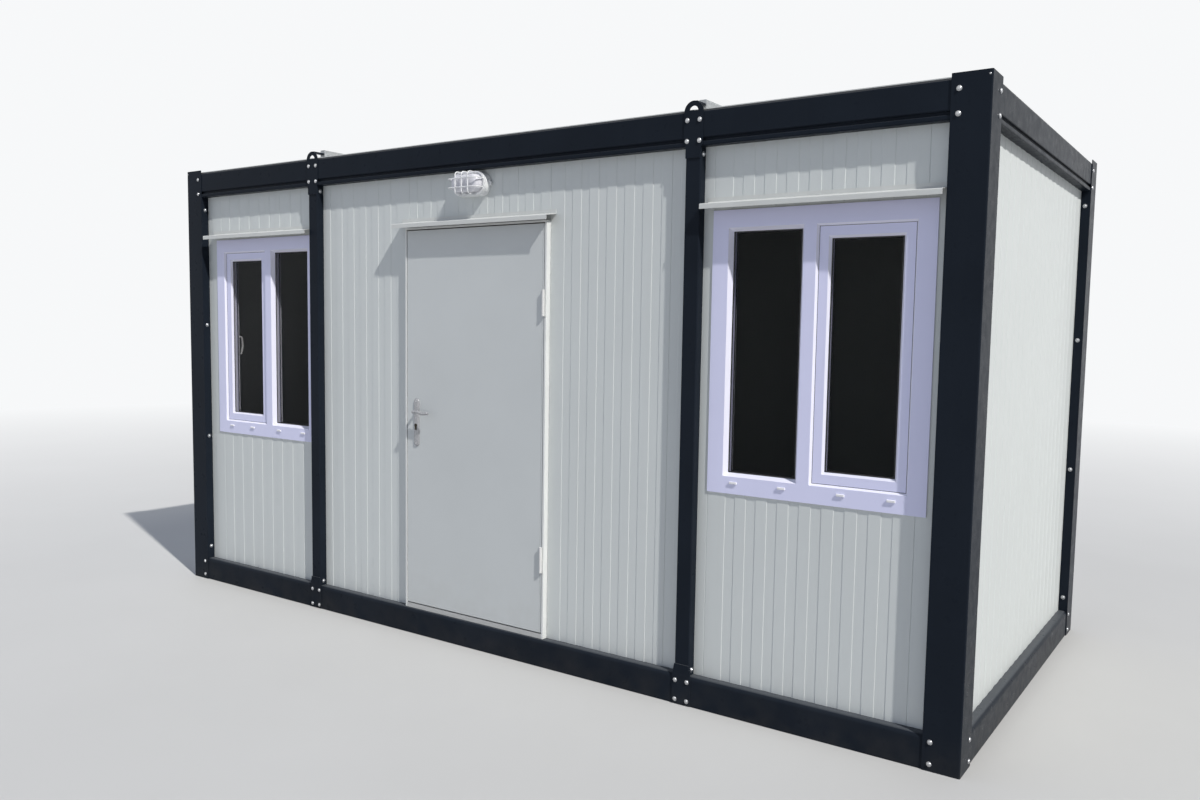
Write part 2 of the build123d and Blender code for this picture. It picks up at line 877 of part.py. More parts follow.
def keep_both(part, name):
    """Writes the right window's piece and the left one's as one node of separate solids."""
    with BuildPart() as pair:
        add(part)
        mirror(about=left_window)
    keep(pair.part, name)


keep(window_frame.part, "window_frame_right")
keep(mirrored(window_frame.part, left_window), "window_frame_left")
keep_both(window_sash.part, "window_sashes")
keep_both(window_panes.part, "window_glass")
keep_both(drain_caps.part, "window_drain_caps")
keep_both(window_handle.part, "window_handles")


def hood(x0, x1, z_lip):
    """Folded drip hood: an upstand on the wall, a sloping top and a turned-down front lip."""
    front = post_set - hood_reach
    back = post_set - hood_sheet
    lip_top = z_lip + hood_lip
    wall_top = lip_top + hood_fall
    fold = [(front, z_lip), (front, lip_top), (back, wall_top), (back, wall_top + hood_upstand)]
    start = Plane(origin=(x0, front_face, 0), x_dir=(0, 1, 0), z_dir=(1, 0, 0))
    with BuildPart() as folded:
        extrude(bent_section(start, fold, hood_bend, hood_sheet), amount=x1 - x0)
    return folded.part


door_hood = hood(
    door_outer_left - door_hood_over_left,
    door_outer_right + door_hood_over_right,
    door_outer_top - door_hood_lap,
)
hood_z = window_top + window_hood_gap
with BuildPart() as window_hoods:
    add(hood(window_x - window_hood_over_inner, window_right + window_hood_over_outer, hood_z))
    add(
        hood(
            left_window_shift - window_right - left_hood_over_outer,
            -mid_post_x - mid_post_width / 2,
            hood_z,
        )
    )
keep(door_hood, "door_hood")
keep(window_hoods.part, "window_hoods")

# Bulkhead lamp over the door
glass_start = post_set - lamp_base_depth
with BuildPart() as lamp_base:
    with BuildSketch(front_plane(post_set)):
        with Locations((lamp_x, lamp_z)):
            RectangleRounded(lamp_length, lamp_width, lamp_round)
    with BuildSketch(front_plane(glass_start)):
        with Locations((lamp_x, lamp_z)):
            RectangleRounded(
                lamp_length - 2 * lamp_flange, lamp_width - 2 * lamp_flange, lamp_round - lamp_flange
            )
    loft()
    with BuildSketch(front_plane(post_set)):
        with Locations((lamp_x, lamp_z)):
            SlotOverall(lamp_length + 2 * lamp_ear_reach, lamp_ear_width)
    extrude(amount=lamp_ear_depth)
keep(lamp_base.part, "lamp_base")

with BuildPart() as lamp_glass:
    for inset, set_out in ((0, 0), (0, glass_depth / 2), (glass_inset, glass_depth)):
        with BuildSketch(front_plane(glass_start - set_out)):
            with Locations((lamp_x, lamp_z)):
                RectangleRounded(glass_length - 2 * inset, glass_width - 2 * inset, glass_round - inset)
    loft()
keep(lamp_glass.part, "lamp_glass")

cage_front = front_face + glass_start - glass_depth - cage_gap - cage_wire
cage_back = front_face + glass_start
cage_half_length = glass_length / 2 + cage_gap + cage_wire
cage_half_width = glass_width / 2 + cage_gap + cage_wire
cage_round = glass_round + cage_gap + cage_wire
bar_rise = cage_bar_offset - (cage_half_width - cage_round)
bar_half = cage_half_length - cage_round + (cage_round**2 - bar_rise**2) ** 0.5


def cage_rod(start, end):
    """Wire from the rim forward, across the glass and back to the rim."""
    (x0, z0), (x1, z1) = start, end
    with BuildLine() as path:
        FilletPolyline(
            (x0, cage_back, z0),
            (x0, cage_front, z0),
            (x1, cage_front, z1),
            (x1, cage_back, z1),
            radius=cage_corner,
        )
    with BuildSketch(Plane(origin=(x0, cage_back, z0), z_dir=(0, -1, 0))) as wire:
        Circle(cage_wire)
    sweep(wire.sketch, path=path.line)


with BuildPart() as lamp_cage:
    with BuildSketch(front_plane(glass_start)):
        with Locations((lamp_x, lamp_z)):
            RectangleRounded(
                2 * (cage_half_length + cage_rim), 2 * (cage_half_width + cage_rim), cage_round + cage_rim
            )
            RectangleRounded(
                2 * (cage_half_length - cage_rim),
                2 * (cage_half_width - cage_rim),
                cage_round - cage_rim,
                mode=Mode.SUBTRACT,
            )
    extrude(amount=2 * cage_wire)
    for x in (lamp_x - cage_hoop_offset, lamp_x, lamp_x + cage_hoop_offset):
        cage_rod((x, lamp_z - cage_half_width), (x, lamp_z + cage_half_width))
    for z in (lamp_z - cage_bar_offset, lamp_z + cage_bar_offset):
        cage_rod((lamp_x - bar_half, z), (lamp_x + bar_half, z))
keep(lamp_cage.part, "lamp_cage")
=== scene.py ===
"""Looks of the portable site cabin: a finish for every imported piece, then bolts, screws, seals, crowned
handle plates and the lamp's ribbed glass, in a plain pale studio seen from the photograph's angle.
In metres, with +Z up and the front towards -Y."""

import json
import math

import bpy
from mathutils import Matrix, Vector


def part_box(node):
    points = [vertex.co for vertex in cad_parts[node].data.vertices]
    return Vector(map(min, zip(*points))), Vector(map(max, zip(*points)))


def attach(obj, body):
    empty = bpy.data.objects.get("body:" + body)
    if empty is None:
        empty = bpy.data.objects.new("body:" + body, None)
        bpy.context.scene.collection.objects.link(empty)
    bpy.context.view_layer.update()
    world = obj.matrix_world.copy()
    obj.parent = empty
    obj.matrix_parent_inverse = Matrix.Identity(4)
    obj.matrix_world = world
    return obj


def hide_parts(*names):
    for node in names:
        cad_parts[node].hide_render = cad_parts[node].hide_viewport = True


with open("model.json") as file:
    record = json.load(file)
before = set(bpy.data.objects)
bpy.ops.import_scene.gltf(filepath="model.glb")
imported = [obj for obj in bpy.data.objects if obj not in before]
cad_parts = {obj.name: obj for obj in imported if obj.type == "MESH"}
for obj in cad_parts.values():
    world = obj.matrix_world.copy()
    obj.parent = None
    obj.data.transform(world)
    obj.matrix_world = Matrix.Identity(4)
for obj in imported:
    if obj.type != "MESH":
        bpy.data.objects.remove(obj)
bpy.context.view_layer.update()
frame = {"nodes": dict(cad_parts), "record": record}
scene = bpy.context.scene


def mm(value):
    return value / 1000


# Camera, solved from the photograph's straight edges; angles in radians, lens and sensor in millimetres
CAMERA_AT = (3.35546, -4.78665, 1.66872)
CAMERA_YAW = 0.59823
CAMERA_PITCH = -0.08462
CAMERA_ROLL = 0.01667
CAMERA_LENS = 29.33
CAMERA_SENSOR = 36
CAMERA_SHIFT = (-0.0128, 0.0082)
CAMERA_REACH = 200

# Sun, travelling as the photograph's shadows say, and an ambient light that falls off towards +X
SUN_TRAVEL = (-0.6525, 0.2314, -0.7219)
SUN_STRENGTH = 3.68
SUN_ANGLE = 0.02
SUN_COLOUR = (1.0, 0.975, 0.94)
AMBIENT = (0.310, 0.348, 0.435)
AMBIENT_FALL = 0.8

# Floor and backdrop
FLOOR_RADIUS = 60.0
FLOOR_SEGMENTS = 64
FLOOR_FADE = (4.0, 16.0)
BACKDROP_WHITE = (0.93, 0.94, 0.95)

# Faces of the cabin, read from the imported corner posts, each with the direction that it looks in
post_low, post_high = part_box("corner_post_front_left")
rear_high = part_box("corner_post_rear_right")[1]
FRONT = post_low.y
POST_WIDTH = post_high.x - post_low.x
LONG_SIDES = ((FRONT, -1), (rear_high.y, 1))
ENDS = ((post_low.x, -1), (rear_high.x, 1))

# Bolts and screws, with round heads
BOLT_HEAD = {"radius": mm(8.8), "height": mm(5.2), "washer_radius": mm(10.2), "washer_height": mm(1.2)}
RETURN_BOLT_HEAD = {"radius": mm(8.5), "height": mm(7.5), "washer_radius": mm(11.0), "washer_height": mm(1.8)}
SCREW_HEAD = {"radius": mm(3.0), "height": mm(1.0), "washer_radius": mm(3.6), "washer_height": mm(0.4)}
BOLT_STEPS, BOLT_SEGMENTS = 6, 24
SCREW_STEPS, SCREW_SEGMENTS = 4, 16

# Bolts on the corner posts, and on the plates over the middle posts
CORNER_BOLT_INSET = mm(116)
CORNER_BOLTS_Z = (mm(2544), mm(2455), mm(115), mm(29))
PLATE_HALF = mm(46)
PLATE_BOLT_SHIFT = mm(30)
PLATE_BOLTS_Z = (mm(2545), mm(2458), mm(110), mm(23))
MID_POST_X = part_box("foot_plates")[1].x - PLATE_HALF

# Bolts through the posts' returns into the wall panels, and the screw at each corner post's top
RETURN_BOLT_SET = mm(26)
RETURN_BOLTS_Z = (mm(2357), mm(1638), mm(930), mm(213))
MID_POST_HALF = mm(36.5)
MID_POST_BOLTS_Z = (mm(2404), mm(162))
CORNER_SCREW_INSET = mm(10)
CORNER_SCREW_Z = mm(2583)

# Windows, as part.py builds them, and the seals round their panes and sashes
JAMB = mm(74)
MULLION = mm(54)
FIXED_LIGHT = mm(340)
LIGHT_BEVEL = mm(15)
SASH_LAP = mm(8)
SASH_FACE = mm(40)
SASH_BEVEL = mm(10)
PANE_SEAL_WIDTH, PANE_SEAL_HEIGHT = mm(5.5), mm(1.6)
SASH_SEAL_WIDTH, SASH_SEAL_HEIGHT = mm(2.0), mm(0.6)

# Dark strips on the roof trim's upright, under its edge: painted shade
TRIM_SHADE_DEPTH = mm(0.8)
LONG_TRIM_SHADE_HEIGHT = mm(8.0)
END_TRIM_SHADE_HEIGHT = mm(10.5)

# Handle plates, and the painted shade of the key slots; the crown is pairs of distance in from the edge and
# rise, in millimetres
PLATE_DEPTH = mm(8)
PLATE_CROWN = (
    (0.0, 0.0), (0.0, 2.4), (1.2, 3.9), (3.5, 5.4), (6.5, 6.7), (9.5, 7.5), (12.5, 7.9), (15.0, 8.0)
)
PLATE_END_SEGMENTS = 16
PLATE_SCREW_INSET = mm(16)
KEY_RISE = mm(24.5)
KEY_SLOT_HALF_WIDTH = mm(0.8)
KEY_SLOT_HALF_HEIGHT = mm(4.8)
KEY_SLOT_DEPTH = mm(0.3)

# Lamp glass; its profile is pairs like the crown's, and its ribs have their full depth from one rise on
GLASS_INSET = mm(1.4)
GLASS_CORNER = mm(39)
GLASS_SEGMENTS = 112
GLASS_PROFILE = ((0, 0), (0, 20), (1.5, 30), (5, 37), (10, 41), (17, 43), (26, 43.8), (34, 44))
RIB_PITCH = mm(9.0)
RIB_DEPTH = mm(1.6)
RIB_FULL_RISE = 30


# Node trees
class Nodes:
    """Short calls for the nodes of one tree, which starts empty."""

    def __init__(self, tree):
        self.tree = tree
        tree.nodes.clear()

    def new(self, kind):
        return self.tree.nodes.new("ShaderNode" + kind)

    def feed(self, socket, value):
        """Gives a socket another node's output, a colour, or a plain value."""
        if isinstance(value, bpy.types.NodeSocket):
            self.tree.links.new(value, socket)
        elif socket.type == "RGBA":
            socket.default_value = (*value, 1.0)
        else:
            socket.default_value = value

    def feed_all(self, node, values):
        """Feeds a node's first sockets and gives its first output."""
        for socket, value in zip(node.inputs, values):
            self.feed(socket, value)
        return node.outputs[0]

    def math(self, operation, *values):
        node = self.new("Math")
        node.operation = operation
        return self.feed_all(node, values)

    def along(self, vector, axis):
        """A vector's part along an axis."""
        node = self.new("SeparateXYZ")
        self.feed(node.inputs[0], vector)
        return node.outputs[axis]

    def remap(self, value, low, high, to_low=0.0, to_high=1.0):
        return self.feed_all(self.new("MapRange"), (value, low, high, to_low, to_high))

    def blend(self, factor, first, second):
        """Mixes two shaders."""
        return self.feed_all(self.new("MixShader"), (factor, first, second))

    def backdrop_rays(self):
        """1 for rays from the camera, off a gloss or through glass, and 0 for all others."""
        rays = self.new("LightPath").outputs
        seen = self.math("MAXIMUM", rays["Is Camera Ray"], rays["Is Glossy Ray"])
        return self.math("MAXIMUM", seen, rays["Is Transmission Ray"])


class Finish(Nodes):
    """A material round one Principled shader."""

    def __init__(self, name, roughness=0.5, metallic=0.0, specular=0.5):
        self.material = bpy.data.materials.new(name)
        self.material.use_nodes = True
        super().__init__(self.material.node_tree)
        self.surface = self.new("OutputMaterial").inputs["Surface"]
        self.shader = self.new("BsdfPrincipled")
        self.feed(self.surface, self.shader.outputs["BSDF"])
        self.set("Roughness", roughness)
        self.set("Metallic", metallic)
        self.set("Specular IOR Level", specular)
        self.coords = self.new("TexCoord").outputs["Object"]

    def set(self, name, value):
        self.feed(self.shader.inputs[name], value)

    def facing(self, axis):
        """How far the surface looks along an axis, from -1 to 1."""
        return self.along(self.new("NewGeometry").outputs["Normal"], axis)

    def stretched(self, scale):
        """Coordinates scaled by axis, for streaks and brushed lines."""
        node = self.new("Mapping")
        self.feed(node.inputs["Vector"], self.coords)
        self.feed(node.inputs["Scale"], scale)
        return node.outputs[0]

    def noise(self, scale, detail, vector=None):
        node = self.new("TexNoise")
        self.feed(node.inputs["Vector"], self.coords if vector is None else vector)
        self.feed(node.inputs["Scale"], scale)
        self.feed(node.inputs["Detail"], detail)
        self.feed(node.inputs["Roughness"], 0.55)
        return node.outputs["Fac"]

    def cells(self, scale):
        node = self.new("TexVoronoi")
        self.feed(node.inputs["Vector"], self.coords)
        self.feed(node.inputs["Scale"], scale)
        return node.outputs["Color"]

    def grey(self, colour):
        return self.feed_all(self.new("RGBToBW"), (colour,))

    def mix(self, factor, first, second):
        """Mixes two colours."""
        node = self.new("Mix")
        node.data_type = "RGBA"
        for index, value in ((0, factor), (6, first), (7, second)):
            self.feed(node.inputs[index], value)
        return node.outputs[2]

    def dusted(self, tone, dust, top, amount):
        """Mixes patches of dust into a tone near the ground, fading out by the height top."""
        height = self.remap(self.along(self.coords, "Z"), 0.0, top, 1.0, 0.0)
        patches = self.remap(self.noise(9.0, 5.0), 0.35, 0.75)
        share = self.math("MULTIPLY", self.math("MULTIPLY", height, patches), amount)
        return self.mix(share, tone, dust)

    def colour(self, tone):
        self.set("Base Color", tone)

    def rough(self, pattern, low, high, start=0.3, end=0.7):
        """Roughness from low to high as a pattern goes from start to end."""
        self.set("Roughness", self.remap(pattern, start, end, low, high))

    def bump(self, height, distance, strength, over=None):
        node = self.new("Bump")
        self.feed(node.inputs["Strength"], strength)
        self.feed(node.inputs["Distance"], distance)
        self.feed(node.inputs["Height"], height)
        if over is not None:
            self.feed(node.inputs["Normal"], over)
        self.set("Normal", node.outputs[0])
        return node.outputs[0]


def shade(colour, factor):
    return tuple(channel * factor for channel in colour)


# Materials
def frame_paint():
    """Anthracite satin coat with a slight orange peel, dusty at the foot, and lighter and bluer on its upward
    ledges: dust there together with a painted sky sheen.
    """
    base, streak = (0.0115, 0.0155, 0.0225), (0.030, 0.034, 0.040)
    foot_dust, ledge_dust_and_sky_sheen = (0.085, 0.076, 0.064), (0.090, 0.098, 0.108)
    finish = Finish("frame_paint", specular=0.035)
    tone = finish.mix(finish.noise(3.0, 4.0), shade(base, 0.75), shade(base, 1.30))
    streaks = finish.noise(14.0, 4.0, finish.stretched((1.0, 1.0, 0.06)))
    tone = finish.mix(finish.remap(streaks, 0.55, 0.80, 0.0, 0.06), tone, streak)
    tone = finish.dusted(tone, foot_dust, mm(160), 0.22)
    # Upward ledges mix in a lighter, bluish grey: dust together with a painted sky sheen on faces that look
    # up
    ledge_dust_and_sheen_share = finish.remap(finish.facing("Z"), 0.75, 0.97, 0.0, 0.75)
    finish.colour(finish.mix(ledge_dust_and_sheen_share, tone, ledge_dust_and_sky_sheen))
    finish.rough(finish.noise(26.0, 4.0), 0.26, 0.38)
    finish.bump(finish.noise(700.0, 2.0), mm(0.10), 0.25)
    return finish.material


def wall_panel():
    """Pale grey coated steel facing, with faint rain streaks and dust at the foot."""
    base, streak, dust = (0.585, 0.615, 0.610), (0.45, 0.45, 0.43), (0.42, 0.39, 0.34)
    finish = Finish("wall_panel", specular=0.4)
    tone = finish.mix(finish.noise(1.7, 3.0), shade(base, 0.965), shade(base, 1.03))
    streaks = finish.noise(22.0, 5.0, finish.stretched((1.0, 1.0, 0.03)))
    tone = finish.mix(finish.remap(streaks, 0.56, 0.85, 0.0, 0.16), tone, streak)
    finish.colour(finish.dusted(tone, dust, mm(340), 0.16))
    finish.rough(finish.noise(18.0, 3.0), 0.40, 0.52)
    finish.bump(finish.noise(420.0, 2.0), mm(0.08), 0.30)
    return finish.material


def door_paint():
    """Light grey satin coat on a flat steel skin that is not quite flat."""
    base, dust = (0.555, 0.580, 0.582), (0.33, 0.31, 0.27)
    finish = Finish("door_paint", specular=0.4)
    tone = finish.mix(finish.noise(2.3, 3.0), shade(base, 0.95), shade(base, 1.05))
    finish.colour(finish.dusted(tone, dust, mm(500), 0.22))
    finish.rough(finish.noise(12.0, 3.0), 0.38, 0.50)
    grain = finish.bump(finish.noise(500.0, 2.0), mm(0.08), 0.25)
    finish.bump(finish.noise(3.5, 1.0), mm(1.2), 0.30, grain)
    return finish.material


def folded_sheet(name, base):
    """Coated folded sheet, duller where the weather has worked on it, and dark brown on faces that look down:
    painted shade with a painted warm ground bounce.
    """
    painted_underside_shade = (0.17, 0.135, 0.105)
    finish = Finish(name, specular=0.4)
    tone = finish.mix(finish.noise(6.0, 5.0), shade(base, 0.90), shade(base, 1.04))
    # Faces that look down turn dark brown: painted shade, tinted as a painted warm bounce from the ground
    finish.colour(finish.mix(finish.remap(finish.facing("Z"), -0.4, -0.8), tone, painted_underside_shade))
    finish.rough(finish.noise(30.0, 3.0), 0.36, 0.50)
    finish.bump(finish.noise(350.0, 2.0), mm(0.08), 0.25)
    return finish.material


def galvanised():
    """Zinc coat with its crystals, dulled by weather."""
    dark, light, weathered = (0.36, 0.38, 0.39), (0.50, 0.52, 0.53), (0.40, 0.40, 0.39)
    finish = Finish("galvanised", metallic=0.40, specular=0.4)
    crystals = finish.grey(finish.mix(0.5, finish.cells(95.0), (0.5, 0.5, 0.5)))
    tone = finish.mix(finish.remap(crystals, 0.3, 0.7), dark, light)
    finish.colour(finish.mix(finish.remap(finish.noise(4.0, 4.0), 0.5, 0.8), tone, weathered))
    finish.rough(crystals, 0.48, 0.64)
    finish.bump(finish.noise(160.0, 3.0), mm(0.15), 0.30)
    return finish.material


def window_profile():
    """White moulded profile, with a lilac film on its flat faces that stops at the bevels."""
    film, bare = (0.68, 0.69, 0.90), (0.78, 0.78, 0.90)
    finish = Finish("window_profile", specular=0.4)
    tone = finish.mix(finish.noise(5.0, 3.0), shade(film, 0.975), shade(film, 1.02))
    flat = finish.remap(finish.math("ABSOLUTE", finish.facing("Y")), 0.88, 0.98)
    finish.colour(finish.mix(flat, bare, tone))
    finish.rough(finish.noise(22.0, 3.0), 0.30, 0.36)
    finish.bump(finish.noise(240.0, 2.0), mm(0.08), 0.20)
    return finish.material


def window_glass():
    """Double glazing darkened by a black opaque share, a painted dark reflection, that still lets the room
    show a little.
    """
    finish = Finish("window_glass", specular=0.14)
    # Near-black colour on a 30 percent opaque share: painted dark reflection over the glazing
    finish.colour(finish.mix(finish.noise(1.5, 2.0), (0.005, 0.006, 0.006), (0.008, 0.009, 0.009)))
    finish.set("Alpha", 0.30)
    finish.rough(finish.noise(60.0, 2.0), 0.01, 0.03, 0.4, 0.8)
    return finish.material


def lamp_glass():
    """Ribbed pressed glass, whitish from the reflector behind it."""
    finish = Finish("lamp_glass", specular=0.5)
    finish.colour(finish.mix(finish.noise(26.0, 3.0), (0.62, 0.62, 0.68), (0.90, 0.90, 0.94)))
    finish.set("Transmission Weight", 0.15)
    finish.set("IOR", 1.45)
    finish.rough(finish.noise(90.0, 2.0), 0.08, 0.16)
    finish.bump(finish.noise(120.0, 2.0), mm(0.3), 0.3)
    return finish.material


def plastic(name, base, roughness):
    """Moulded plastic, rubber or coated board with a fine grain."""
    finish = Finish(name, specular=0.5)
    finish.colour(finish.mix(finish.noise(14.0, 4.0), shade(base, 0.93), shade(base, 1.03)))
    finish.rough(finish.noise(60.0, 3.0), roughness - 0.05, roughness + 0.07)
    finish.bump(finish.noise(800.0, 2.0), mm(0.06), 0.3)
    return finish.material


def metal(name, base, roughness, stretch=(1.0, 1.0, 1.0), metallic=1.0):
    """Plain metal with a fine grain, drawn out along the axis whose stretch is smallest."""
    finish = Finish(name, metallic=metallic)
    grain = finish.noise(420.0, 4.0, finish.stretched(stretch))
    finish.colour(finish.mix(grain, shade(base, 0.82), shade(base, 1.12)))
    finish.rough(grain, roughness - 0.06, roughness + 0.08)
    finish.bump(grain, mm(0.05), 0.25)
    return finish.material


def vinyl_floor():
    """Speckled vinyl sheet."""
    dark, light, worn = (0.20, 0.18, 0.16), (0.34, 0.31, 0.27), (0.26, 0.235, 0.205)
    finish = Finish("floor", specular=0.4)
    speckle = finish.mix(finish.remap(finish.noise(260.0, 4.0), 0.45, 0.60), dark, light)
    finish.colour(finish.mix(finish.noise(2.0, 3.0), speckle, worn))
    finish.rough(finish.noise(9.0, 3.0), 0.42, 0.60)
    finish.bump(finish.noise(260.0, 3.0), mm(0.2), 0.25)
    return finish.material


SLOT_MATERIALS = {
    "frame_paint": frame_paint(),
    "wall_panel": wall_panel(),
    "door_paint": door_paint(),
    "flashing": folded_sheet("flashing", (0.60, 0.615, 0.60)),
    "galvanised": galvanised(),
    "window_profile": window_profile(),
    "window_glass": window_glass(),
    "lamp_glass": lamp_glass(),
    "lamp_plastic": plastic("lamp_plastic", (0.74, 0.75, 0.76), 0.36),
    "floor": vinyl_floor(),
    "ceiling": plastic("ceiling", (0.68, 0.69, 0.68), 0.5),
    "threshold": metal("threshold", (0.55, 0.56, 0.57), 0.38, (0.05, 1.0, 1.0)),
    "handle_metal": metal("handle_metal", (0.38, 0.385, 0.40), 0.24, (1.0, 1.0, 0.08), 0.45),
    # Lock cylinder near black instead of brass colour: painted shade and painted dark reflection
    "lock_brass": metal("lock_brass", (0.050, 0.043, 0.033), 0.36),
    "hinge_metal": folded_sheet("hinge_metal", (0.66, 0.665, 0.655)),
}
bolt_zinc = metal("bolt_zinc", (0.54, 0.55, 0.57), 0.34)
# Black rubber for the pane seals, also used for the painted shade of the key slots
seal_rubber_and_slot_shade = plastic("seal_rubber_and_slot_shade", (0.018, 0.018, 0.020), 0.62)
sash_rubber = plastic("sash_rubber", (0.105, 0.105, 0.135), 0.62)
# Near-black strips on the roof trim's upright: painted shade
roof_trim_painted_shade = plastic("roof_trim_painted_shade", (0.055, 0.057, 0.062), 0.70)
white_plastic = plastic("white_plastic", (0.82, 0.82, 0.84), 0.34)
frame_white = folded_sheet("door_frame_paint", (0.70, 0.715, 0.705))

NODE_MATERIALS = {
    "door_frame": frame_white,
    "window_drain_caps": white_plastic,
    "window_handles": white_plastic,
}


def dress_nodes():
    """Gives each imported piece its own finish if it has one, and otherwise its slot's."""
    slot_of = {row["node"]: row["material_slot"] for row in frame["record"]["subparts"]}
    for name, node in frame["nodes"].items():
        node.data.materials.clear()
        node.data.materials.append(NODE_MATERIALS.get(name, SLOT_MATERIALS[slot_of[name]]))


# Meshes
class Shape:
    """Gathers vertices and faces of like small things into one mesh."""

    def __init__(self):
        self.points = []
        self.faces = []

    def add(self, points, faces):
        start = len(self.points)
        self.points += [tuple(point) for point in points]
        self.faces += [tuple(start + index for index in face) for face in faces]

    def make(self, name, material, body, smooth=True):
        mesh = bpy.data.meshes.new(name)
        mesh.from_pydata(self.points, [], self.faces)
        mesh.validate()
        mesh.update()
        mesh.polygons.foreach_set("use_smooth", [smooth] * len(mesh.polygons))
        if smooth:
            mesh.set_sharp_from_angle(angle=math.radians(40))
        piece = bpy.data.objects.new(name, mesh)
        scene.collection.objects.link(piece)
        mesh.materials.append(material)
        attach(piece, body)
        return piece


def join_levels(count, levels, first=0):
    """Faces between levels of count points each, whose points are numbered from first."""
    faces = []
    for level in range(levels - 1):
        a = first + level * count
        b = a + count
        for i in range(count):
            j = (i + 1) % count
            faces.append((a + i, a + j, b + j, b + i))
    return faces


def turned(profile, segments):
    """Points and faces of a closed turned form, from (radius, height) pairs between its two middles."""
    rings = profile[1:-1]
    points = [(0.0, 0.0, profile[0][1])]
    for radius, height in rings:
        for i in range(segments):
            angle = 2 * math.pi * i / segments
            points.append((radius * math.cos(angle), radius * math.sin(angle), height))
    points.append((0.0, 0.0, profile[-1][1]))
    top_ring = 1 + (len(rings) - 1) * segments
    top = len(points) - 1
    faces = join_levels(segments, len(rings), 1)
    for i in range(segments):
        j = (i + 1) % segments
        faces += [(0, 1 + j, 1 + i), (top_ring + i, top_ring + j, top)]
    return points, faces


def domed_head(radius, height, washer_radius, washer_height, steps):
    """Profile of a round bolt head on a washer."""
    profile = [(0.0, 0.0), (washer_radius, 0.0), (washer_radius, washer_height), (radius, washer_height)]
    for i in range(1, steps):
        angle = math.pi / 2 * i / steps
        profile.append((radius * math.cos(angle), washer_height + height * math.sin(angle)))
    profile.append((0.0, washer_height + height))
    return profile


BOLT = turned(domed_head(**BOLT_HEAD, steps=BOLT_STEPS), BOLT_SEGMENTS)
RETURN_BOLT = turned(domed_head(**RETURN_BOLT_HEAD, steps=BOLT_STEPS), BOLT_SEGMENTS)
SCREW = turned(domed_head(**SCREW_HEAD, steps=SCREW_STEPS), SCREW_SEGMENTS)


def place(shape, form, spot, normal):
    """Stands a turned form on a surface at a spot."""
    points, faces = form
    turn = Vector((0, 0, 1)).rotation_difference(Vector(normal)).to_matrix().to_4x4()
    matrix = Matrix.Translation(spot) @ turn
    shape.add([matrix @ Vector(point) for point in points], faces)


def slab(shape, low, high):
    """Small rectangular block between two corners."""
    points = [(x, y, z) for x in (low[0], high[0]) for y in (low[1], high[1]) for z in (low[2], high[2])]
    shape.add(points, [(0, 1, 3, 2), (4, 6, 7, 5), (0, 4, 5, 1), (2, 3, 7, 6), (0, 2, 6, 4), (1, 5, 7, 3)])


def inset(box, distance):
    """An upright rectangle (x0, z0, x1, z1) made smaller all round."""
    x0, z0, x1, z1 = box
    return (x0 + distance, z0 + distance, x1 - distance, z1 - distance)


def seal(shape, outer, width, front, back):
    """Flat strip round the inside of an upright rectangle, from one y to another."""
    points = []
    for y in (front, back):
        for x0, z0, x1, z1 in (outer, inset(outer, width)):
            points += [(x, y, z) for x, z in ((x0, z0), (x1, z0), (x1, z1), (x0, z1))]
    faces = []
    for i in range(4):
        j = (i + 1) % 4
        faces += [(i, j, 4 + j, 4 + i), (8 + j, 8 + i, 12 + i, 12 + j)]
        faces += [(j, i, 8 + i, 8 + j), (4 + i, 4 + j, 12 + j, 12 + i)]
    shape.add(points, faces)


def stadium(half_width, half_height):
    """Outline of an upright rectangle whose ends are half circles, as (x, z) round its middle."""
    points = []
    for start, end in ((0, 1), (math.pi, -1)):
        for i in range(PLATE_END_SEGMENTS + 1):
            angle = start + math.pi * i / PLATE_END_SEGMENTS
            rise = end * (half_height - half_width) + half_width * math.sin(angle)
            points.append((half_width * math.cos(angle), rise))
    return points


def rounded_rectangle(half_x, half_z, corner):
    """Outline of an upright rectangle with round corners, as evenly spaced (x, z) round its middle."""
    straight_x, straight_z = 2 * (half_x - corner), 2 * (half_z - corner)
    quarter = math.pi * corner / 2
    legs = 2 * [(straight_x, False), (quarter, True), (straight_z, False), (quarter, True)]
    run = 2 * (straight_x + straight_z + 2 * quarter)
    points = []
    for i in range(GLASS_SEGMENTS):
        left = run * i / GLASS_SEGMENTS
        x, z, heading = -(half_x - corner), -half_z, 0.0
        for length, round_leg in legs:
            step = min(left, length)
            if round_leg:
                swing = step / corner
                x += corner * (math.sin(heading + swing) - math.sin(heading))
                z += corner * (math.cos(heading) - math.cos(heading + swing))
                heading += swing
            else:
                x += step * math.cos(heading)
                z += step * math.sin(heading)
            left -= step
            if left <= 0:
                break
        points.append((x, z))
    return points


def close_across(first, count):
    """Faces that close an outline with strips from its lower half to its upper half."""
    faces = [(first, first + 1, first + count - 1)]
    for i in range(1, count // 2):
        near, next_near = first + i, first + i + 1
        far, next_far = first + count - i, first + count - i - 1
        if next_near == next_far:
            faces.append((near, next_near, far))
        else:
            faces.append((near, next_near, next_far, far))
    return faces


# Bolts
def add_frame_bolts():
    """Bolts on the faces of the corner posts and of the plates over the middle posts."""
    bolts = Shape()
    for x, x_side in ENDS:
        for y, y_side in LONG_SIDES:
            for z in CORNER_BOLTS_Z:
                place(bolts, BOLT, (x - x_side * CORNER_BOLT_INSET, y, z), (0, y_side, 0))
                place(bolts, BOLT, (x, y - y_side * CORNER_BOLT_INSET, z), (x_side, 0, 0))
    for y, y_side in LONG_SIDES:
        for x in (-MID_POST_X, MID_POST_X):
            for z in PLATE_BOLTS_Z:
                for shift in (-PLATE_BOLT_SHIFT, PLATE_BOLT_SHIFT):
                    place(bolts, BOLT, (x + shift, y, z), (0, y_side, 0))
    bolts.make("frame_bolts", bolt_zinc, "cabin")


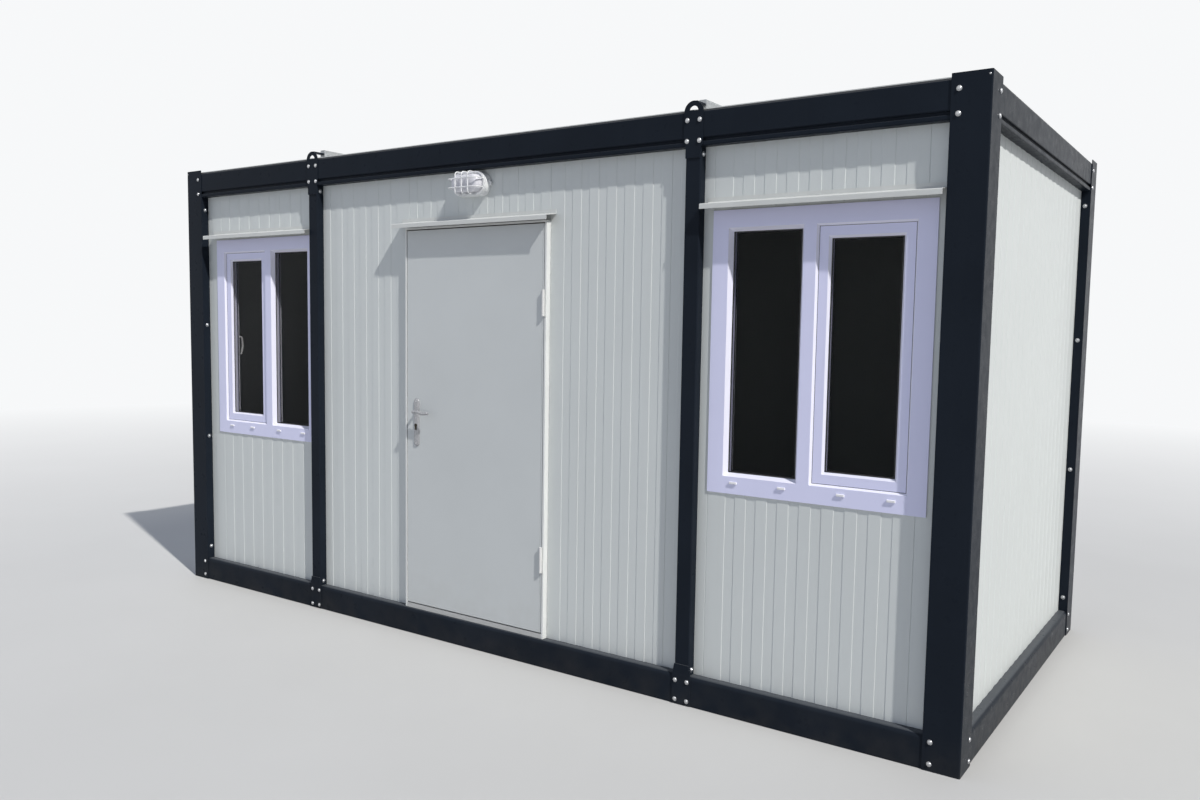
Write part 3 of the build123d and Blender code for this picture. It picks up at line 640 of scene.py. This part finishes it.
def add_return_bolts():
    """Bolts through the posts' returns into the wall panels, and the corner posts' top screws."""
    bolts = Shape()
    for x, x_side in ENDS:
        for y, y_side in LONG_SIDES:
            for z in RETURN_BOLTS_Z:
                spot = (x - x_side * POST_WIDTH, y - y_side * RETURN_BOLT_SET, z)
                place(bolts, RETURN_BOLT, spot, (-x_side, 0, 0))
                spot = (x - x_side * RETURN_BOLT_SET, y - y_side * POST_WIDTH, z)
                place(bolts, RETURN_BOLT, spot, (0, -y_side, 0))
            place(bolts, SCREW, (x - x_side * CORNER_SCREW_INSET, y, CORNER_SCREW_Z), (0, y_side, 0))
    for y, y_side in LONG_SIDES:
        for middle in (-MID_POST_X, MID_POST_X):
            for side in (-1, 1):
                for z in MID_POST_BOLTS_Z:
                    spot = (middle + side * MID_POST_HALF, y - y_side * RETURN_BOLT_SET, z)
                    place(bolts, RETURN_BOLT, spot, (side, 0, 0))
    bolts.make("return_bolts", bolt_zinc, "cabin")


# Seals, and the painted shade on the roof trim
def both_windows(outline):
    """An outline in the right window and its mirror image in the left one."""
    x0, z0, x1, z1 = outline
    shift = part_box("window_frame_left")[0].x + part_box("window_frame_right")[1].x
    return (outline, (shift - x1, z0, shift - x0, z1))


def add_window_seals():
    """Rubber round the panes, outside and inside, and round the edge of each sash."""
    frame_low, frame_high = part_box("window_frame_right")
    pane_low, pane_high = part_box("window_glass")
    sash_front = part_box("window_sashes")[0].y
    light_low, light_high = frame_low.z + JAMB, frame_high.z - JAMB
    mullion_left = frame_low.x + JAMB + FIXED_LIGHT
    mullion_right = mullion_left + MULLION
    fixed_light = inset((frame_low.x + JAMB, light_low, mullion_left, light_high), LIGHT_BEVEL)
    sash_edge = inset((mullion_right, light_low, frame_high.x - JAMB, light_high), SASH_LAP)
    sash_light = inset(sash_edge, SASH_FACE + SASH_BEVEL)

    pane_seals = Shape()
    for outline in both_windows(fixed_light) + both_windows(sash_light):
        seal(pane_seals, outline, PANE_SEAL_WIDTH, pane_low.y - PANE_SEAL_HEIGHT, pane_low.y)
        seal(pane_seals, outline, PANE_SEAL_WIDTH, pane_high.y, pane_high.y + PANE_SEAL_HEIGHT)
    pane_seals.make("pane_seals", seal_rubber_and_slot_shade, "cabin", smooth=False)

    sash_seals = Shape()
    for outline in both_windows(sash_edge):
        seal(sash_seals, outline, SASH_SEAL_WIDTH, sash_front - SASH_SEAL_HEIGHT, sash_front)
    sash_seals.make("sash_seals", sash_rubber, "cabin", smooth=False)


def add_roof_trim_painted_shade():
    """Dark strips on the roof trim's upright under its edge, all round: painted shade."""
    low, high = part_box("roof_trim")
    trim_shade_strips = Shape()
    for face, side in ((low.y, -1), (high.y, 1)):
        near, far = sorted((face, face + side * TRIM_SHADE_DEPTH))
        slab(trim_shade_strips, (low.x, near, low.z), (high.x, far, low.z + LONG_TRIM_SHADE_HEIGHT))
    for face, side in ((low.x, -1), (high.x, 1)):
        near, far = sorted((face, face + side * TRIM_SHADE_DEPTH))
        slab(trim_shade_strips, (near, low.y, low.z), (far, high.y, low.z + END_TRIM_SHADE_HEIGHT))
    trim_shade_strips.make("roof_trim_painted_shade", roof_trim_painted_shade, "cabin", smooth=False)


# Door furniture
plate_low, plate_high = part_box("handle_plates")
cylinder_low, cylinder_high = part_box("lock_cylinder")
PLATE_X = (plate_low.x + plate_high.x) / 2


def add_handle_plates():
    """Crowned plates with round ends, in place of the flat ones."""
    middle_z = (plate_low.z + plate_high.z) / 2
    half_width, half_height = (plate_high.x - plate_low.x) / 2, (plate_high.z - plate_low.z) / 2
    plates = Shape()
    for back, side in ((plate_low.y + PLATE_DEPTH, -1), (plate_high.y - PLATE_DEPTH, 1)):
        points = []
        for inward, rise in PLATE_CROWN:
            for x, z in stadium(half_width - mm(inward), half_height - mm(inward)):
                points.append((PLATE_X - side * x, back + side * mm(rise), middle_z + z))
        count = len(points) // len(PLATE_CROWN)
        faces = join_levels(count, len(PLATE_CROWN))
        faces.append(tuple(range(count - 1, -1, -1)))
        faces.append(tuple(range(len(points) - count, len(points))))
        plates.add(points, faces)
    crowned = plates.make("crowned_handle_plates", SLOT_MATERIALS["handle_metal"], "door")
    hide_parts("handle_plates")


def add_plate_screws():
    screws = Shape()
    for y, y_side in ((plate_low.y, -1), (plate_high.y, 1)):
        for z in (plate_low.z + PLATE_SCREW_INSET, plate_high.z - PLATE_SCREW_INSET):
            place(screws, SCREW, (PLATE_X, y, z), (0, y_side, 0))
    screws.make("plate_screws", bolt_zinc, "door")


def add_key_slot_shades():
    """Dark slabs on the round part of the lock cylinder's two faces: painted shade where the key slots would
    be.
    """
    key_z = cylinder_low.z + KEY_RISE
    slot_shades = Shape()
    for y, y_side in ((cylinder_low.y, -1), (cylinder_high.y, 1)):
        near, far = sorted((y, y + y_side * KEY_SLOT_DEPTH))
        low = (PLATE_X - KEY_SLOT_HALF_WIDTH, near, key_z - KEY_SLOT_HALF_HEIGHT)
        high = (PLATE_X + KEY_SLOT_HALF_WIDTH, far, key_z + KEY_SLOT_HALF_HEIGHT)
        slab(slot_shades, low, high)
    slot_shades.make("key_slot_shades", seal_rubber_and_slot_shade, "door", smooth=False)


# Lamp
def add_lamp_glass():
    """Domed pressed glass over the lamp's outline, with shallow upright ribs."""
    low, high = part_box("lamp_glass")
    middle_x, middle_z = (high.x + low.x) / 2, (high.z + low.z) / 2
    half_x, half_z = (high.x - low.x) / 2 - GLASS_INSET, (high.z - low.z) / 2 - GLASS_INSET
    points = []
    for inward, rise in GLASS_PROFILE:
        rib_depth = RIB_DEPTH * min(rise / RIB_FULL_RISE, 1)
        for x, z in rounded_rectangle(half_x - mm(inward), half_z - mm(inward), GLASS_CORNER - mm(inward)):
            rib = rib_depth * (0.5 - 0.5 * math.cos(2 * math.pi * x / RIB_PITCH))
            points.append((middle_x + x, high.y - max(mm(rise) - rib, 0.0), middle_z + z))
    faces = join_levels(GLASS_SEGMENTS, len(GLASS_PROFILE))
    faces += close_across(len(points) - GLASS_SEGMENTS, GLASS_SEGMENTS)
    faces.append(tuple(range(GLASS_SEGMENTS - 1, -1, -1)))
    glass = Shape()
    glass.add(points, faces)
    lens_glass = glass.make("lamp_glass_ribbed", SLOT_MATERIALS["lamp_glass"], "cabin")
    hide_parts("lamp_glass")


# Studio
def studio_floor_finish():
    """Matt pale floor that turns into the backdrop's white far from the cabin."""
    finish = Finish("studio_floor", roughness=0.7, specular=0.2)
    finish.colour(finish.mix(finish.noise(0.8, 3.0), (0.50, 0.50, 0.49), (0.54, 0.54, 0.53)))
    finish.bump(finish.noise(60.0, 3.0), mm(0.5), 0.15)
    level = finish.new("VectorMath")
    level.operation = "MULTIPLY"
    finish.feed(level.inputs[0], finish.new("NewGeometry").outputs["Position"])
    finish.feed(level.inputs[1], (1, 1, 0))
    reach = finish.new("VectorMath")
    reach.operation = "LENGTH"
    finish.feed(reach.inputs[0], level.outputs[0])
    fade = finish.remap(reach.outputs["Value"], *FLOOR_FADE)
    glow = finish.feed_all(finish.new("Emission"), (BACKDROP_WHITE,))
    factor = finish.math("MULTIPLY", fade, finish.backdrop_rays())
    finish.feed(finish.surface, finish.blend(factor, finish.shader.outputs[0], glow))
    return finish.material


def add_floor():
    """Large round floor at ground level."""
    points = [(0.0, 0.0, 0.0)]
    for i in range(FLOOR_SEGMENTS):
        angle = 2 * math.pi * i / FLOOR_SEGMENTS
        points.append((FLOOR_RADIUS * math.cos(angle), FLOOR_RADIUS * math.sin(angle), 0.0))
    faces = [(0, 1 + i, 1 + (i + 1) % FLOOR_SEGMENTS) for i in range(FLOOR_SEGMENTS)]
    mesh = bpy.data.meshes.new("studio_floor")
    mesh.from_pydata(points, [], faces)
    mesh.materials.append(studio_floor_finish())
    floor = bpy.data.objects.new("studio_floor", mesh)
    scene.collection.objects.link(floor)


def add_world():
    """Ambient light on the object, and plain white where the backdrop itself is seen."""
    scene.world = bpy.data.worlds.new("studio")
    scene.world.use_nodes = True
    sky = Nodes(scene.world.node_tree)
    across = sky.along(sky.new("TexCoord").outputs["Generated"], "X")
    strength = sky.math("MULTIPLY_ADD", across, -AMBIENT_FALL, 1.0)
    ambient = sky.feed_all(sky.new("Background"), (AMBIENT, strength))
    backdrop = sky.feed_all(sky.new("Background"), (BACKDROP_WHITE,))
    surface = sky.new("OutputWorld").inputs["Surface"]
    sky.feed(surface, sky.blend(sky.backdrop_rays(), ambient, backdrop))


def add_sun():
    lamp = bpy.data.lights.new("key", "SUN")
    lamp.energy = SUN_STRENGTH
    lamp.angle = SUN_ANGLE
    lamp.color = SUN_COLOUR
    key = bpy.data.objects.new("key", lamp)
    key.rotation_euler = Vector(SUN_TRAVEL).to_track_quat("-Z", "Y").to_euler()
    scene.collection.objects.link(key)


def add_camera():
    """Camera at the photograph's place, turned by its yaw, pitch and roll."""
    cos_yaw, sin_yaw = math.cos(CAMERA_YAW), math.sin(CAMERA_YAW)
    cos_pitch, sin_pitch = math.cos(CAMERA_PITCH), math.sin(CAMERA_PITCH)
    cos_roll, sin_roll = math.cos(CAMERA_ROLL), math.sin(CAMERA_ROLL)
    forward = Vector((-sin_yaw * cos_pitch, cos_yaw * cos_pitch, sin_pitch))
    level = Vector((cos_yaw, sin_yaw, 0))
    upright = level.cross(forward)
    right = cos_roll * level + sin_roll * upright
    up = cos_roll * upright - sin_roll * level
    turn = Matrix((right, up, -forward)).transposed().to_4x4()
    data = bpy.data.cameras.new("camera")
    data.lens = CAMERA_LENS
    data.sensor_width = CAMERA_SENSOR
    data.shift_x, data.shift_y = CAMERA_SHIFT
    data.clip_end = CAMERA_REACH
    camera = bpy.data.objects.new("camera", data)
    camera.matrix_world = Matrix.Translation(CAMERA_AT) @ turn
    scene.collection.objects.link(camera)
    scene.camera = camera


dress_nodes()
add_frame_bolts()
add_return_bolts()
add_window_seals()
add_roof_trim_painted_shade()
add_handle_plates()
add_plate_screws()
add_key_slot_shades()
add_lamp_glass()
add_floor()
add_world()
add_sun()
add_camera()
bpy.context.scene.view_settings.view_transform = "Standard"
